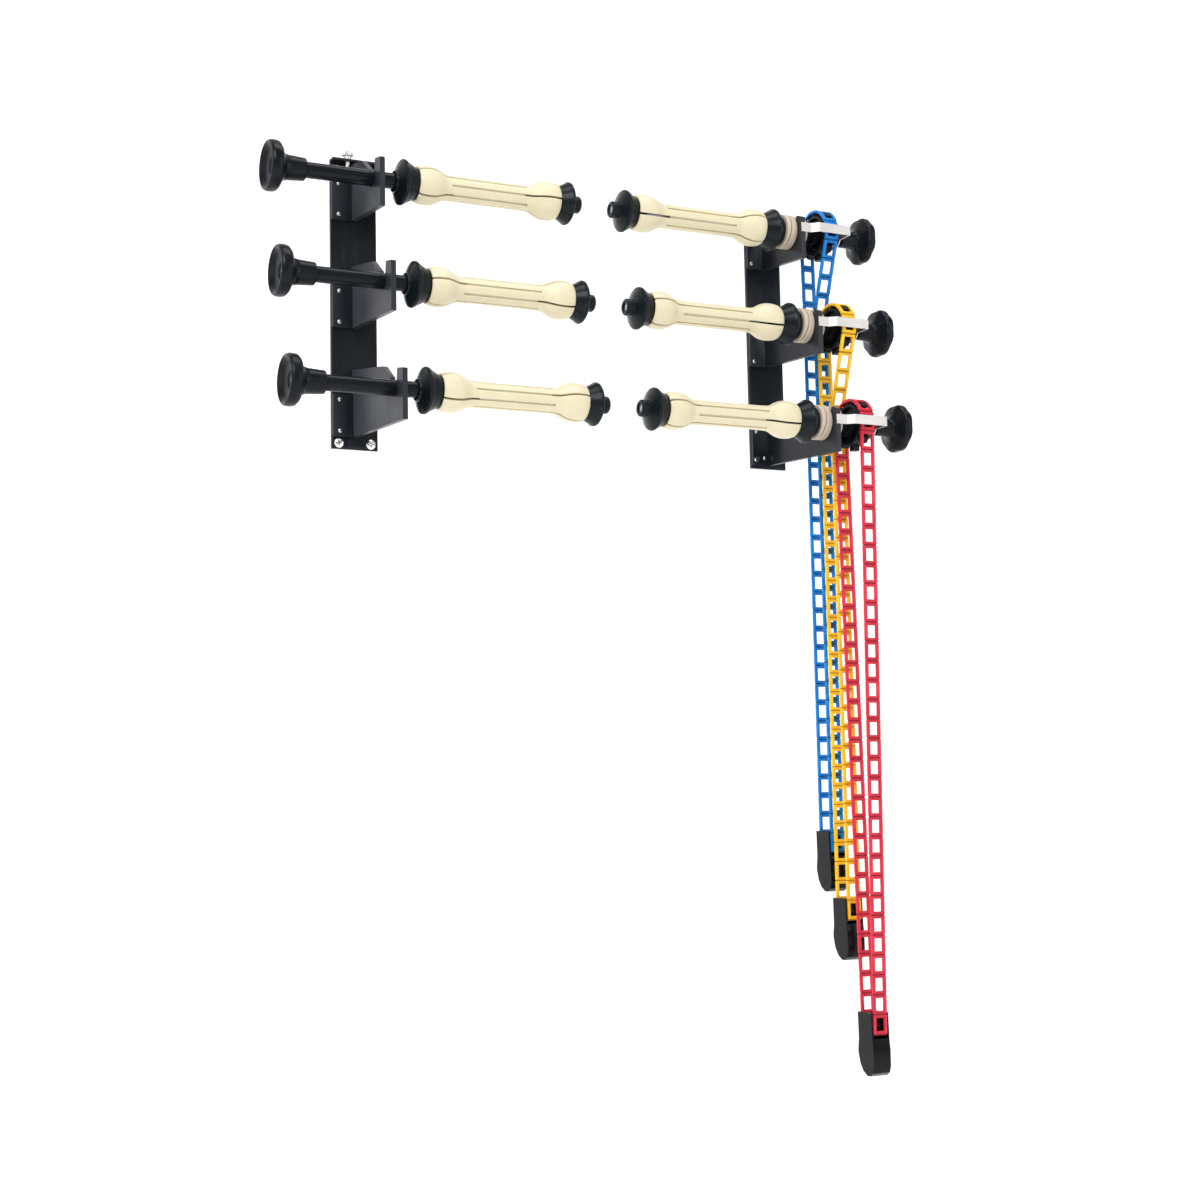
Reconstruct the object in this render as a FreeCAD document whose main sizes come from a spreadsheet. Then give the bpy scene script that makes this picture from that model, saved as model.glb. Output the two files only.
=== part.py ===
import FreeCAD, Part
import math
import os

import Sketcher

# Wall-mounted set of two triple roller brackets: an idle side and a chain-driven side.
# Frame: X along the rolls, Y into the wall (wall plane at Y = 0), Z up.
# Origin: middle of the drive plate's back face.  Millimetres.

os.makedirs("parts", exist_ok=True)
doc = FreeCAD.newDocument("roller_brackets")

DIMS = {
    # spacing of the set
    "bracket_gap": 548, "bar_pitch": 126, "axis_mid": 8, "axis_top": 134, "axis_low": 118,
    "depth_top": 74, "depth_mid": 106, "depth_low": 138,
    # wall plates
    "idle_plate_wide": 55, "drive_plate_wide": 50, "plate_thick": 4, "drive_plate_half": 152,
    "idle_plate_top": 175, "idle_plate_low": 162, "lip_deep": 9, "lip_thick": 2.5,
    "hole_side": 19, "drive_hole_rise": 141, "idle_hole_top": 164, "idle_hole_low": 155,
    "wall_hole_rad": 3, "wall_screw_rad": 2.4, "wall_screw_head": 6, "wall_screw_long": 28,
    # arms
    "arm_thick": 6, "arm_rise": 17, "arm_drop": 30, "arm_nose": 28, "nose_drop": 39,
    "ramp_back": 38, "ramp_low": 5, "shelf_back": 33, "shelf_rise": 31, "shelf_slope": 0.17,
    "shelf_low": 13.5, "foot_inset": 0.5, "foot_rise": 18, "foot_thick": 4, "foot_hole_rad": 3.5,
    "idle_notch": 9.4, "drive_notch": 13.2, "rivet_side": 19, "rivet_rad": 2.4, "rivet_tall": 1.4,
    # idle locking screw
    "lock_side": 8, "lock_deep": 8, "lock_shank": 4.5, "lock_head": 6.5, "lock_tall": 11,
    # bars
    "idle_ring": 33, "drive_ring": 30, "ring_rad": 26, "tip_ring_rad": 25, "core_bore": 5.4,
    "tube_rad": 9, "tube_back": 80, "spindle_rad": 5, "axle_end": 68,
    "sleeve_from": 16, "sleeve_to": 191, "sleeve_rad": 14.5, "bulb_rad": 22.5, "slit_wide": 2.4,
    "sleeve_bore": 8, "tip_plane": 205, "tip_boss_rad": 10, "tip_boss_end": 222,
    # knobs
    "idle_knob_rad": 28.5, "idle_knob_out": 125, "idle_hub_end": 81,
    "drive_knob_rad": 29.5, "drive_knob_in": 70, "drive_knob_out": 108,
    # bush, sprocket and chain guide
    "bush_rad": 21, "bush_neck": 13, "bush_bore": 9.06, "bush_left": 17.5, "bush_side": 11.5,
    "sprocket_mid": 40, "sprocket_rad": 25.6, "sprocket_half": 8.4, "tooth_tip": 31.5,
    "tooth_long": 8, "tooth_wide": 9,
    "guide_front": 35, "guide_end": 62, "guide_thick": 1.5, "guide_tall": 11.5,
    "guide_eye_rad": 15, "guide_eye_bore": 9.7,
    # chain and weights
    "chain_pitch": 23, "link_gap": 0.4, "chain_wide": 18.5, "chain_thick": 3.5,
    "hole_wide": 11.5, "hole_long": 15,
    "weight_wide": 24, "weight_tall": 73, "weight_front": 14.5, "weight_back": 17.3,
    "weight_over": 25, "recess_wide": 20, "recess_down": 30, "peg_rad": 7,
}
sheet = doc.addObject("Spreadsheet::Sheet", "dims")
for row, (alias, value) in enumerate(DIMS.items(), start=1):
    sheet.set(f"A{row}", alias)
    sheet.set(f"B{row}", str(value))
    sheet.setAlias(f"B{row}", alias)
doc.recompute()

ROWS = {"top": ("depth_top", "axis_top", 1), "middle": ("depth_mid", "axis_mid", 1),
        "bottom": ("depth_low", "axis_low", -1)}
exports = {}


def number(term):
    """A term is a plain number, or (alias, factor, offset)."""
    if isinstance(term, tuple):
        return DIMS[term[0]] * term[1] + term[2]
    return float(term)


def formula(term, sign=1):
    return f"{sign * term[1]} * dims.{term[0]} + {sign * term[2]}"


def ref(alias, factor=1, offset=0):
    return (alias, factor, offset)


def bind(thing, prop, term):
    """Set a property from a number, or tie it to the sheet."""
    if isinstance(term, tuple):
        thing.setExpression(prop, formula(term))
    elif "." in prop:
        placed = FreeCAD.Placement(thing.Placement)
        base = placed.Base
        setattr(base, prop.split(".")[-1], float(term))
        placed.Base = base
        thing.Placement = placed
    else:
        setattr(thing, prop, float(term))


def place(thing, x=0, y=0, z=0, turn=None):
    """Put a body down; turn is an optional rotation."""
    if turn is not None:
        thing.Placement = FreeCAD.Placement(FreeCAD.Vector(), turn)
    for prop, term in (("x", x), ("y", y), ("z", z)):
        bind(thing, "Placement.Base." + prop, term)


def new_body(name):
    body = doc.addObject("PartDesign::Body", name)
    body.Label = name
    exports[name] = body
    return body


def origin_plane(body, role):
    return next(item for item in body.Origin.OriginFeatures if item.Role == role)


def new_sketch(body, role, offset=None):
    sketch = body.newObject("Sketcher::SketchObject", body.Name + "_sketch")
    sketch.AttachmentSupport = (origin_plane(body, role), "")
    sketch.MapMode = "FlatFace"
    if offset is not None:
        if isinstance(offset, tuple):
            sketch.setExpression("AttachmentOffset.Base.z", formula(offset))
        else:
            sketch.AttachmentOffset = FreeCAD.Placement(FreeCAD.Vector(0, 0, offset), FreeCAD.Rotation())
    return sketch


def pin_point(sketch, geo, pos, x, y):
    """Fix one point of the sketch to the origin, each way, from the sheet where it names a dimension."""
    for kind, axis, term in (("DistanceX", -2, x), ("DistanceY", -1, y)):
        value = number(term)
        if abs(value) < 1e-9:
            sketch.addConstraint(Sketcher.Constraint("PointOnObject", geo, pos, axis))
            continue
        ends = (-1, 1, geo, pos) if value > 0 else (geo, pos, -1, 1)
        index = sketch.addConstraint(Sketcher.Constraint(kind, *ends, abs(value)))
        if isinstance(term, tuple):
            sketch.setExpression(f"Constraints[{index}]", formula(term, 1 if value > 0 else -1))


def polygon(sketch, points):
    """A closed outline; every corner is pinned to the origin."""
    where = [FreeCAD.Vector(number(x), number(y), 0) for x, y in points]
    first = sketch.GeometryCount
    count = len(points)
    for i in range(count):
        sketch.addGeometry(Part.LineSegment(where[i], where[(i + 1) % count]), False)
    for i in range(count):
        sketch.addConstraint(Sketcher.Constraint("Coincident", first + i, 2, first + (i + 1) % count, 1))
    for i, (x, y) in enumerate(points):
        pin_point(sketch, first + i, 1, x, y)


def circle(sketch, x, y, radius):
    geo = sketch.addGeometry(
        Part.Circle(FreeCAD.Vector(number(x), number(y), 0), FreeCAD.Vector(0, 0, 1), number(radius)), False)
    pin_point(sketch, geo, 3, x, y)
    index = sketch.addConstraint(Sketcher.Constraint("Radius", geo, number(radius)))
    if isinstance(radius, tuple):
        sketch.setExpression(f"Constraints[{index}]", formula(radius))


def rectangle(sketch, x0, y0, x1, y1):
    polygon(sketch, [(x0, y0), (x1, y0), (x1, y1), (x0, y1)])


def spin(body, points):
    """Revolve an outline about the body's X axis."""
    sketch = new_sketch(body, "XZ_Plane")
    polygon(sketch, points)
    turned = body.newObject("PartDesign::Revolution", body.Name + "_turned")
    turned.Profile = sketch
    turned.ReferenceAxis = (sketch, ["H_Axis"])
    turned.Angle = 360.0
    sketch.Visibility = False
    return turned


def pad(body, sketch, length, back=False, name="_pad"):
    feature = body.newObject("PartDesign::Pad", body.Name + name)
    feature.Profile = sketch
    bind(feature, "Length", length)
    feature.Reversed = back
    sketch.Visibility = False
    return feature


def cut_through(body, sketch, name="_cut"):
    feature = body.newObject("PartDesign::Pocket", body.Name + name)
    feature.Profile = sketch
    feature.Type = 1
    feature.Midplane = True
    sketch.Visibility = False
    return feature


def cut_blind(body, sketch, length, back=False, name="_recess"):
    feature = body.newObject("PartDesign::Pocket", body.Name + name)
    feature.Profile = sketch
    bind(feature, "Length", length)
    feature.Reversed = back
    sketch.Visibility = False
    return feature


def around(body, feature, count, name="_around"):
    """Repeat the last feature about the body's X axis."""
    pattern = body.newObject("PartDesign::PolarPattern", body.Name + name)
    pattern.Originals = [feature]
    pattern.Axis = (origin_plane(body, "X_Axis"), [""])
    pattern.Angle = 360.0
    pattern.Occurrences = count
    body.Tip = pattern
    return pattern


# ---------------------------------------------------------------- wall plates

def wall_plate(name, x, wide, top, low, hole_top, hole_low, with_lip):
    """Flat plate on the wall with four corner holes; the idle one has a lip for the locking screw."""
    body = new_body(name)
    sketch = new_sketch(body, "XZ_Plane")
    rectangle(sketch, ref(wide, -0.5), low, ref(wide, 0.5), top)
    for sx in (-1, 1):
        for z in (hole_top, hole_low):
            circle(sketch, ref("hole_side", sx), z, ref("wall_hole_rad"))
    pad(body, sketch, ref("plate_thick"))
    if with_lip:
        lip = new_sketch(body, "XY_Plane", (top[0], 1, -DIMS["lip_thick"]))
        rectangle(lip, ref(wide, -0.5), ref("plate_thick", -1), ref(wide, 0.5),
                  ref("lip_deep", -1, -DIMS["plate_thick"]))
        circle(lip, ref("lock_side", -1), ref("lock_deep", -1), ref("lock_shank", 1, -1.5))
        pad(body, lip, ref("lip_thick"), name="_lip")
    place(body, x, 0, 0)


IDLE_X = ref("bracket_gap", -1)
wall_plate("idle_wall_plate", IDLE_X, "idle_plate_wide", ref("idle_plate_top"), ref("idle_plate_low", -1),
           ref("idle_hole_top"), ref("idle_hole_low", -1), True)
wall_plate("drive_wall_plate", 0, "drive_plate_wide", ref("drive_plate_half"), ref("drive_plate_half", -1),
           ref("drive_hole_rise"), ref("drive_hole_rise", -1), False)


# ---------------------------------------------------------------- arms

def idle_outline(root, root_depth):
    """Sloping shelf, a ramp down to the notch and a leaning nose."""
    notch, shelf = "idle_notch", "shelf_rise"
    shelf_root = DIMS["shelf_slope"] * (root_depth - DIMS["shelf_back"])
    return [
        (root, ref(shelf, 1, shelf_root)), (ref("shelf_back"), ref(shelf)),
        (ref(notch), ref("shelf_low")), (ref(notch), 0), (ref(notch, -1), 0),
        (ref(notch, -1), 6), (ref(notch, -1, -2), ref("arm_rise", 1, 3)),
        (ref("arm_nose", -1), ref("arm_rise")), (ref("arm_nose", -1), ref("nose_drop", -1)),
        (root, ref("arm_drop", -1))]


def drive_outline(root, root_depth):
    """Level top, a short ramp down to the notch and a low nose."""
    notch = "drive_notch"
    return [
        (root, ref("arm_rise")), (ref("ramp_back"), ref("arm_rise")),
        (ref(notch), ref("ramp_low")), (ref(notch), 0), (ref(notch, -1), 0),
        (ref(notch, -1), ref("ramp_low", 1, 1)), (ref(notch, -1, -5), ref("arm_rise")),
        (ref("arm_nose", -1), ref("arm_rise", 1, -4)), (ref("arm_nose", -1), ref("nose_drop", -1)),
        (root, ref("arm_drop", -1))]


def arm(side, row, x, outline, foot_holes):
    """Upright cradle arm with an open notch, and a foot riveted to the plate; holes are (x, z) from the axis."""
    depth, axis, up = ROWS[row]
    root = ref(depth, 1, -DIMS["plate_thick"])
    body = new_body(f"{side}_arm_{row}")
    sketch = new_sketch(body, "YZ_Plane")
    polygon(sketch, outline(root, number(root)))
    pad(body, sketch, ref("arm_thick"))
    seat = new_sketch(body, "YZ_Plane")
    circle(seat, 0, 0, ref(side + "_notch"))
    cut_through(body, seat, "_seat")
    foot = new_sketch(body, "XZ_Plane", ref(depth, -1, DIMS["plate_thick"]))
    shift = DIMS["arm_thick"] / 2
    rectangle(foot, ref(side + "_plate_wide", -0.5, shift + DIMS["foot_inset"]), ref("arm_drop", -1),
              ref("arm_thick", 0.5), ref("foot_rise"))
    for hole_x, hole_z in foot_holes:
        circle(foot, hole_x + shift, hole_z, ref("foot_hole_rad"))
    pad(body, foot, ref("foot_thick"), name="_foot")
    place(body, (x[0], x[1], -shift) if isinstance(x, tuple) else ref("arm_thick", -0.5),
          ref(depth, -1), ref(axis, up))


# the drive plate's left wall holes lie behind the top and the bottom foot
DRIVE_FOOT_HOLES = {"top": [(-19, 7)], "middle": [], "bottom": [(-19, -23)]}
for row in ROWS:
    arm("idle", row, IDLE_X, idle_outline, [])
    arm("drive", row, 0, drive_outline, DRIVE_FOOT_HOLES[row])


# ---------------------------------------------------------------- screws and rivets

def domed_head(x, y, z, radius, height, shank=0.0, shank_radius=0.0, squash=1.0):
    """Pan head facing -Y at (x, y, z), with an optional shank going to +Y."""
    steps = 6
    outline = [FreeCAD.Vector(0, -height, 0)]
    for i in range(1, steps + 1):
        angle = math.pi / 2 * i / steps
        outline.append(FreeCAD.Vector(radius * math.sin(angle), -height * math.cos(angle) * squash, 0))
    if shank:
        outline += [FreeCAD.Vector(shank_radius, 0, 0), FreeCAD.Vector(shank_radius, shank - 3, 0),
                    FreeCAD.Vector(0.6, shank, 0)]
        outline.append(FreeCAD.Vector(0, shank, 0))
    else:
        outline.append(FreeCAD.Vector(0, 0, 0))
    wire = Part.makePolygon(outline + [outline[0]])
    solid = Part.Face(wire).revolve(FreeCAD.Vector(), FreeCAD.Vector(0, 1, 0), 360)
    solid.translate(FreeCAD.Vector(x, y, z))
    return Part.Solid(solid) if solid.ShapeType != "Solid" else solid


def group(name, solids):
    thing = doc.addObject("Part::Feature", name)
    thing.Label = name
    thing.Shape = Part.makeCompound(solids)
    exports[name] = thing


D = DIMS
idle_x = -D["bracket_gap"]
group("idle_wall_screws", [
    domed_head(idle_x + sx * D["hole_side"], -D["plate_thick"], z, D["wall_screw_head"], 3.2,
               D["wall_screw_long"] + D["plate_thick"], D["wall_screw_rad"])
    for sx in (-1, 1) for z in (D["idle_hole_top"], -D["idle_hole_low"])])

# rivet places (x, z) from the arm's middle and the row's axis
PLAIN_RIVETS = [(-D["rivet_side"], 12), (-D["rivet_side"], -24)]
RIVETS = {
    "idle": {"top": PLAIN_RIVETS, "middle": PLAIN_RIVETS, "bottom": PLAIN_RIVETS},
    "drive": {"top": [(-8, 11), (-D["rivet_side"], -24)], "middle": PLAIN_RIVETS,
              "bottom": [(-D["rivet_side"], 12), (-8, -21)]},
}
for side, x in (("idle", idle_x), ("drive", 0)):
    group(side + "_arm_rivets", [
        domed_head(x + dx, -D["plate_thick"] - D["foot_thick"], up * D[axis] + dz,
                   D["rivet_rad"], D["rivet_tall"])
        for row, (depth, axis, up) in ROWS.items() for dx, dz in RIVETS[side][row]])

lock = new_body("idle_lock_screw")
shape = new_sketch(lock, "XZ_Plane")
polygon(shape, [(ref("lock_tall", -1, 2), 0.8), (ref("lock_tall", -1, 2), ref("lock_head", 1, -0.8)),
                (ref("lock_tall", -1, 3), ref("lock_head")), (-4, ref("lock_head")), (-4, ref("lock_shank")),
                (0, ref("lock_shank")), (0, ref("lock_shank", 1, -1.8)), (9, ref("lock_shank", 1, -1.8)),
                (9, 0.8)])
turned = lock.newObject("PartDesign::Revolution", "lock_turned")
turned.Profile = shape
turned.ReferenceAxis = (shape, ["H_Axis"])
turned.Angle = 360.0
place(lock, ref("bracket_gap", -1, -D["lock_side"]), ref("lock_deep", -1), ref("idle_plate_top"),
      FreeCAD.Rotation(FreeCAD.Vector(0, 1, 0), 90))

# ---------------------------------------------------------------- bars
# Along a bar u = 0 is the widest ring of the inner cone and u grows toward the tip.

HALF_TURN = FreeCAD.Rotation(FreeCAD.Vector(0, 0, 1), 180)


def seat_on_bar(body, side, row, roll=0.0):
    """Local X = u: idle bars point to +X, drive bars to -X.  Roll is in degrees about the bar."""
    depth, axis, up = ROWS[row]
    rolled = FreeCAD.Rotation(FreeCAD.Vector(1, 0, 0), roll)
    if side == "idle":
        place(body, ref("bracket_gap", -1, D["idle_ring"]), ref(depth, -1), ref(axis, up), rolled)
    else:
        place(body, ref("drive_ring", -1), ref(depth, -1), ref(axis, up), HALF_TURN.multiply(rolled))


def inner_cone(side, row):
    """Flange the paper core rests against, with the taper that spreads the near end of the sleeve."""
    body = new_body(f"{side}_inner_cone_{row}")
    taper = [(-2, ref("ring_rad", 1, -0.8)), (-1, ref("ring_rad")), (1, ref("ring_rad")),
             (2.4, ref("ring_rad", 1, -1.2)), (17, 16.9), (30, 11.2), (30, ref("core_bore"))]
    if side == "idle":
        spin(body, [(-10, ref("tube_rad")), (-10, 12), (-7.5, 12.6)] + taper
             + [(0, ref("core_bore")), (0, ref("tube_rad"))])
    else:
        far = ref("axle_end", -1, -D["drive_ring"])
        collar = D["bush_left"] + 0.6 - D["drive_ring"]
        spin(body, [(far, ref("core_bore")), (far, ref("tube_rad")), (collar, ref("tube_rad")),
                    (collar, 17), (collar + 1, 18), (-6.5, 18)] + taper)
    seat_on_bar(body, side, row)


# how far each sleeve stands turned about its bar, in degrees
SLEEVE_ROLL = {"idle": {"top": -41, "middle": -12, "bottom": 31},
               "drive": {"top": 27, "middle": -20, "bottom": -21}}


def sleeve(side, row):
    """Split expander sleeve: a bulb at each end, four slits from each end, half a step apart."""
    body = new_body(f"{side}_sleeve_{row}")
    a, b = "sleeve_from", "sleeve_to"
    bulb, neck, bore = "bulb_rad", "sleeve_rad", "sleeve_bore"
    outside = [(0, -2.6), (3, -1.1), (8, -0.1), (13, 0), (18, -0.6), (24, -2.6), (30, -6)]
    points = [(ref(a, 1, du), ref(bulb, 1, dr)) for du, dr in outside]
    points += [(ref(a, 1, 36), ref(neck, 1, 0.3)), (ref(b, 1, -36), ref(neck, 1, 0.3))]
    points += [(ref(b, 1, -du), ref(bulb, 1, dr)) for du, dr in reversed(outside)]
    points += [(ref(b), 17.6), (ref(b, 1, -16), ref(bore, 1, 2.6)), (ref(b, 1, -26), ref(bore)),
               (ref(a, 1, 26), ref(bore)), (ref(a, 1, 16), ref(bore, 1, 2.6)), (ref(a), 17.6)]
    spin(body, points)
    half = "slit_wide"
    near, far = (ref(a, 1, -2), ref(b, 1, -40)), (ref(a, 1, 40), ref(b, 1, 2))
    for turn, (start, stop) in enumerate((near, far, near, far)):
        sketch = new_sketch(body, "XZ_Plane")
        sketch.AttachmentOffset = FreeCAD.Placement(
            FreeCAD.Vector(), FreeCAD.Rotation(FreeCAD.Vector(1, 0, 0), 45 * turn))
        rectangle(sketch, start, ref(half, -0.5), stop, ref(half, 0.5))
        cut_through(body, sketch, f"_slit_{turn}")
    seat_on_bar(body, side, row, SLEEVE_ROLL[side][row])


def outer_cone(side, row):
    """Flange at the tip with its taper and the captive nut that the spindle draws in."""
    body = new_body(f"{side}_outer_cone_{row}")
    p = "tip_plane"
    spin(body, [(ref(p, 1, -27), ref("core_bore")), (ref(p, 1, -27), 11.4), (ref(p, 1, -15), 16.8),
                (ref(p, 1, -2.4), ref("tip_ring_rad", 1, -1.2)), (ref(p, 1, -1), ref("tip_ring_rad")),
                (ref(p, 1, 1), ref("tip_ring_rad")), (ref(p, 1, 2), ref("tip_ring_rad", 1, -0.8)),
                (ref(p, 1, 6), 14.5), (ref(p, 1, 7), ref("tip_boss_rad")),
                (ref("tip_boss_end", 1, -1.5), ref("tip_boss_rad")),
                (ref("tip_boss_end"), ref("tip_boss_rad", 1, -1.5)), (ref("tip_boss_end"), ref("core_bore"))])
    seat_on_bar(body, side, row)


def rod(name, radius, start, end, side, row):
    """Plain spindle between two stations of u."""
    thing = doc.addObject("Part::Cylinder", name)
    thing.Label = name
    exports[name] = thing
    bind(thing, "Radius", radius)
    thing.setExpression("Height", f"({formula(end)}) - ({formula(start)})")
    depth, axis, up = ROWS[row]
    sign = 1 if side == "idle" else -1
    thing.Placement = FreeCAD.Placement(FreeCAD.Vector(), FreeCAD.Rotation(FreeCAD.Vector(0, 1, 0), 90 * sign))
    zero = "-dims.bracket_gap + dims.idle_ring" if side == "idle" else "-dims.drive_ring"
    thing.setExpression("Placement.Base.x", f"{zero} + {sign} * ({formula(start)})")
    thing.setExpression("Placement.Base.y", formula(ref(depth, -1)))
    thing.setExpression("Placement.Base.z", formula(ref(axis, up)))


def idle_tube(row):
    """Carrier tube that turns in the arm's notch."""
    body = new_body(f"idle_tube_{row}")
    start, end = ref("tube_back", -1, -D["idle_ring"]), 0
    spin(body, [(start, ref("core_bore")), (start, ref("tube_rad")), (end, ref("tube_rad")),
                (end, ref("core_bore"))])
    seat_on_bar(body, "idle", row)


def idle_knob(row):
    """Dished round knob with a tapered hub, at the free end of the tube."""
    body = new_body(f"idle_knob_{row}")
    out = ref("idle_knob_out", -1, -D["idle_ring"])
    x, z = out[0], "idle_knob_rad"

    def at(du):
        return (x, -1, -D["idle_ring"] + du)

    spin(body, [(at(8), 5), (at(6), 20), (at(1), 25), (at(0), 26.5), (at(0.6), 28.4),
                (at(3), ref(z, 1, -0.3)), (at(6), ref(z)), (at(11), ref(z, 1, -0.6)), (at(14), ref(z, 1, -3)),
                (at(16.5), 20), (at(19), 15.6), (at(24), 14), (at(40), 12.9),
                (ref("idle_hub_end", -1, -D["idle_ring"]), 12.7), (ref("idle_hub_end", -1, -D["idle_ring"]), 5)])
    seat_on_bar(body, "idle", row)


def drive_knob(row):
    """Lobed knob at the outer end of a driven bar, hub toward the sprocket."""
    body = new_body(f"drive_knob_{row}")
    hub = ref("drive_knob_in", -1, -D["drive_ring"])
    out, z = "drive_knob_out", "drive_knob_rad"

    def at(du):
        return (out, -1, -D["drive_ring"] + du)

    spin(body, [(at(7), 5), (at(6), 16), (at(1.5), 22), (at(0), ref(z, 1, -3.5)), (at(1.2), ref(z, 1, -0.8)),
                (at(3.5), ref(z)), (at(8), ref(z)), (at(10.5), ref(z, 1, -1.5)), (at(14), 17), (at(17), 12),
                (at(20), 10.9), ((hub[0], hub[1], hub[2] - 1), 10.4), (hub, 9.6), (hub, 5)])
    scoop = new_sketch(body, "YZ_Plane", ref(out, -1, -D["drive_ring"] - 1))
    circle(scoop, 0, ref(z, 1, 58), 60)
    feature = cut_blind(body, scoop, 16, back=True, name="_scoop")
    around(body, feature, 8)
    seat_on_bar(body, "drive", row)


def bush(row):
    """Two-flanged bush; its neck sits in the notch of the drive arm."""
    body = new_body(f"drive_bush_{row}")
    depth, axis, up = ROWS[row]
    inner = D["arm_thick"] / 2 + 0.1
    spin(body, [(ref("bush_left", -1), ref("bush_bore")), (ref("bush_left", -1), ref("bush_rad", 1, -1)),
                (ref("bush_left", -1, 1), ref("bush_rad")), (-inner, ref("bush_rad")), (-inner, ref("bush_neck")),
                (inner, ref("bush_neck")), (inner, ref("bush_rad")), (ref("bush_side", 1, -1), ref("bush_rad")),
                (ref("bush_side"), ref("bush_rad", 1, -1)), (ref("bush_side"), ref("bush_bore"))])
    place(body, 0, ref(depth, -1), ref(axis, up))


def sprocket(row):
    """Eight-pocket chain wheel on the axle; the teeth stand in the openings of the links."""
    body = new_body(f"drive_sprocket_{row}")
    depth, axis, up = ROWS[row]
    half, rim = "sprocket_half", "sprocket_rad"
    spin(body, [(ref(half, -1), ref(rim, 1, -4)), (ref(half, -1), ref(rim, 1, -1)), (ref(half, -1, 1), ref(rim)),
                (ref(half, 1, -1), ref(rim)), (ref(half), ref(rim, 1, -1)), (ref(half), ref(rim, 1, -4)),
                (4, ref(rim, 1, -5)), (4, 14.5), (ref(half, 1, 2), 13.5), (ref(half, 1, 2), ref("tube_rad")),
                (ref(half, -1, -6), ref("tube_rad")), (ref(half, -1, -6), 13.5), (-4, 14.5),
                (-4, ref(rim, 1, -5))])
    tooth = new_sketch(body, "XY_Plane", ref(rim, 1, -2))
    rectangle(tooth, ref("tooth_wide", -0.5), ref("tooth_long", -0.5), ref("tooth_wide", 0.5),
              ref("tooth_long", 0.5))
    feature = pad(body, tooth, ref("tooth_tip", 1, 2 - D["sprocket_rad"]), name="_tooth")
    around(body, feature, 8)
    place(body, ref("sprocket_mid"), ref(depth, -1), ref(axis, up))


def chain_guide(row):
    """Bent strap in front of the chain; its far leg ends in an eye around the axle."""
    body = new_body(f"drive_chain_guide_{row}")
    depth, axis, up = ROWS[row]
    nose, front, end, thick = "arm_nose", "guide_front", "guide_end", D["guide_thick"]
    sketch = new_sketch(body, "XY_Plane", ref("guide_tall", -0.5))
    polygon(sketch, [(ref("arm_thick", -0.5), ref(nose, -1)), (11, ref(nose, -1)), (19, ref(front, -1)),
                     (ref(end), ref(front, -1)), (ref(end), -11), (ref(end, 1, thick), -11),
                     (ref(end, 1, thick), ref(front, -1, -thick)), (18.5, ref(front, -1, -thick)),
                     (10.5, ref(nose, -1, -thick)), (ref("arm_thick", -0.5), ref(nose, -1, -thick))])
    pad(body, sketch, ref("guide_tall"))
    eye = new_sketch(body, "YZ_Plane", ref(end))
    circle(eye, 0, 0, ref("guide_eye_rad"))
    pad(body, eye, thick, name="_eye")
    bore = new_sketch(body, "YZ_Plane", ref(end, 1, -2))
    circle(bore, 0, 0, ref("guide_eye_bore"))
    cut_blind(body, bore, 6, back=True, name="_bore")
    place(body, 0, ref(depth, -1), ref(axis, up))


for row in ROWS:
    idle_knob(row)
    rod(f"idle_spindle_{row}", ref("spindle_rad"), ref("idle_knob_out", -1, 8.5 - D["idle_ring"]),
        ref("tip_boss_end", 1, -2), "idle", row)
    idle_tube(row)
    drive_knob(row)
    rod(f"drive_spindle_{row}", ref("spindle_rad"), ref("drive_knob_out", -1, 7.5 - D["drive_ring"]),
        ref("tip_boss_end", 1, -2), "drive", row)
    bush(row)
    sprocket(row)
    chain_guide(row)
    for side in ("idle", "drive"):
        inner_cone(side, row)
        sleeve(side, row)
        outer_cone(side, row)


# ---------------------------------------------------------------- chains and weights
# A chain is a run of hinge points; one moulded ladder link spans each pair of neighbours.

def strand(start, knee, bottom, bent, straight):
    """Hinge points below the wheel: `bent` links to the knee, then `straight` links to the bottom."""
    points = []
    for i in range(1, bent + 1):
        t = i / bent
        points.append((start[0] + (knee[0] - start[0]) * t, start[1] + (knee[1] - start[1]) * t))
    for i in range(1, straight + 1):
        t = i / straight
        points.append((knee[0] + (bottom[0] - knee[0]) * t, knee[1] + (bottom[1] - knee[1]) * t))
    return points


def knee_of(start, y, bent):
    """Where a strand of `bent` links that leaves `start` reaches the given y."""
    reach = bent * D["chain_pitch"]
    return (y, start[1] - math.sqrt(reach ** 2 - (y - start[0]) ** 2))


def link(p, q, x, trim=0.0):
    """A flat link with one opening, between hinge points p and q in the YZ plane."""
    length = math.hypot(q[0] - p[0], q[1] - p[1]) - D["link_gap"] - 2 * trim
    wide, thick = D["chain_wide"], D["chain_thick"]
    frame = Part.makeBox(wide, thick, length, FreeCAD.Vector(-wide / 2, -thick / 2, -length / 2))
    opening = Part.makeBox(D["hole_wide"], thick + 2, D["hole_long"],
                           FreeCAD.Vector(-D["hole_wide"] / 2, -thick / 2 - 1, -D["hole_long"] / 2))
    solid = frame.cut(opening)
    tilt = math.degrees(math.atan2(-(q[0] - p[0]), q[1] - p[1]))
    solid.rotate(FreeCAD.Vector(), FreeCAD.Vector(1, 0, 0), tilt)
    solid.translate(FreeCAD.Vector(x, (p[0] + q[0]) / 2, (p[1] + q[1]) / 2))
    return solid


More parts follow.
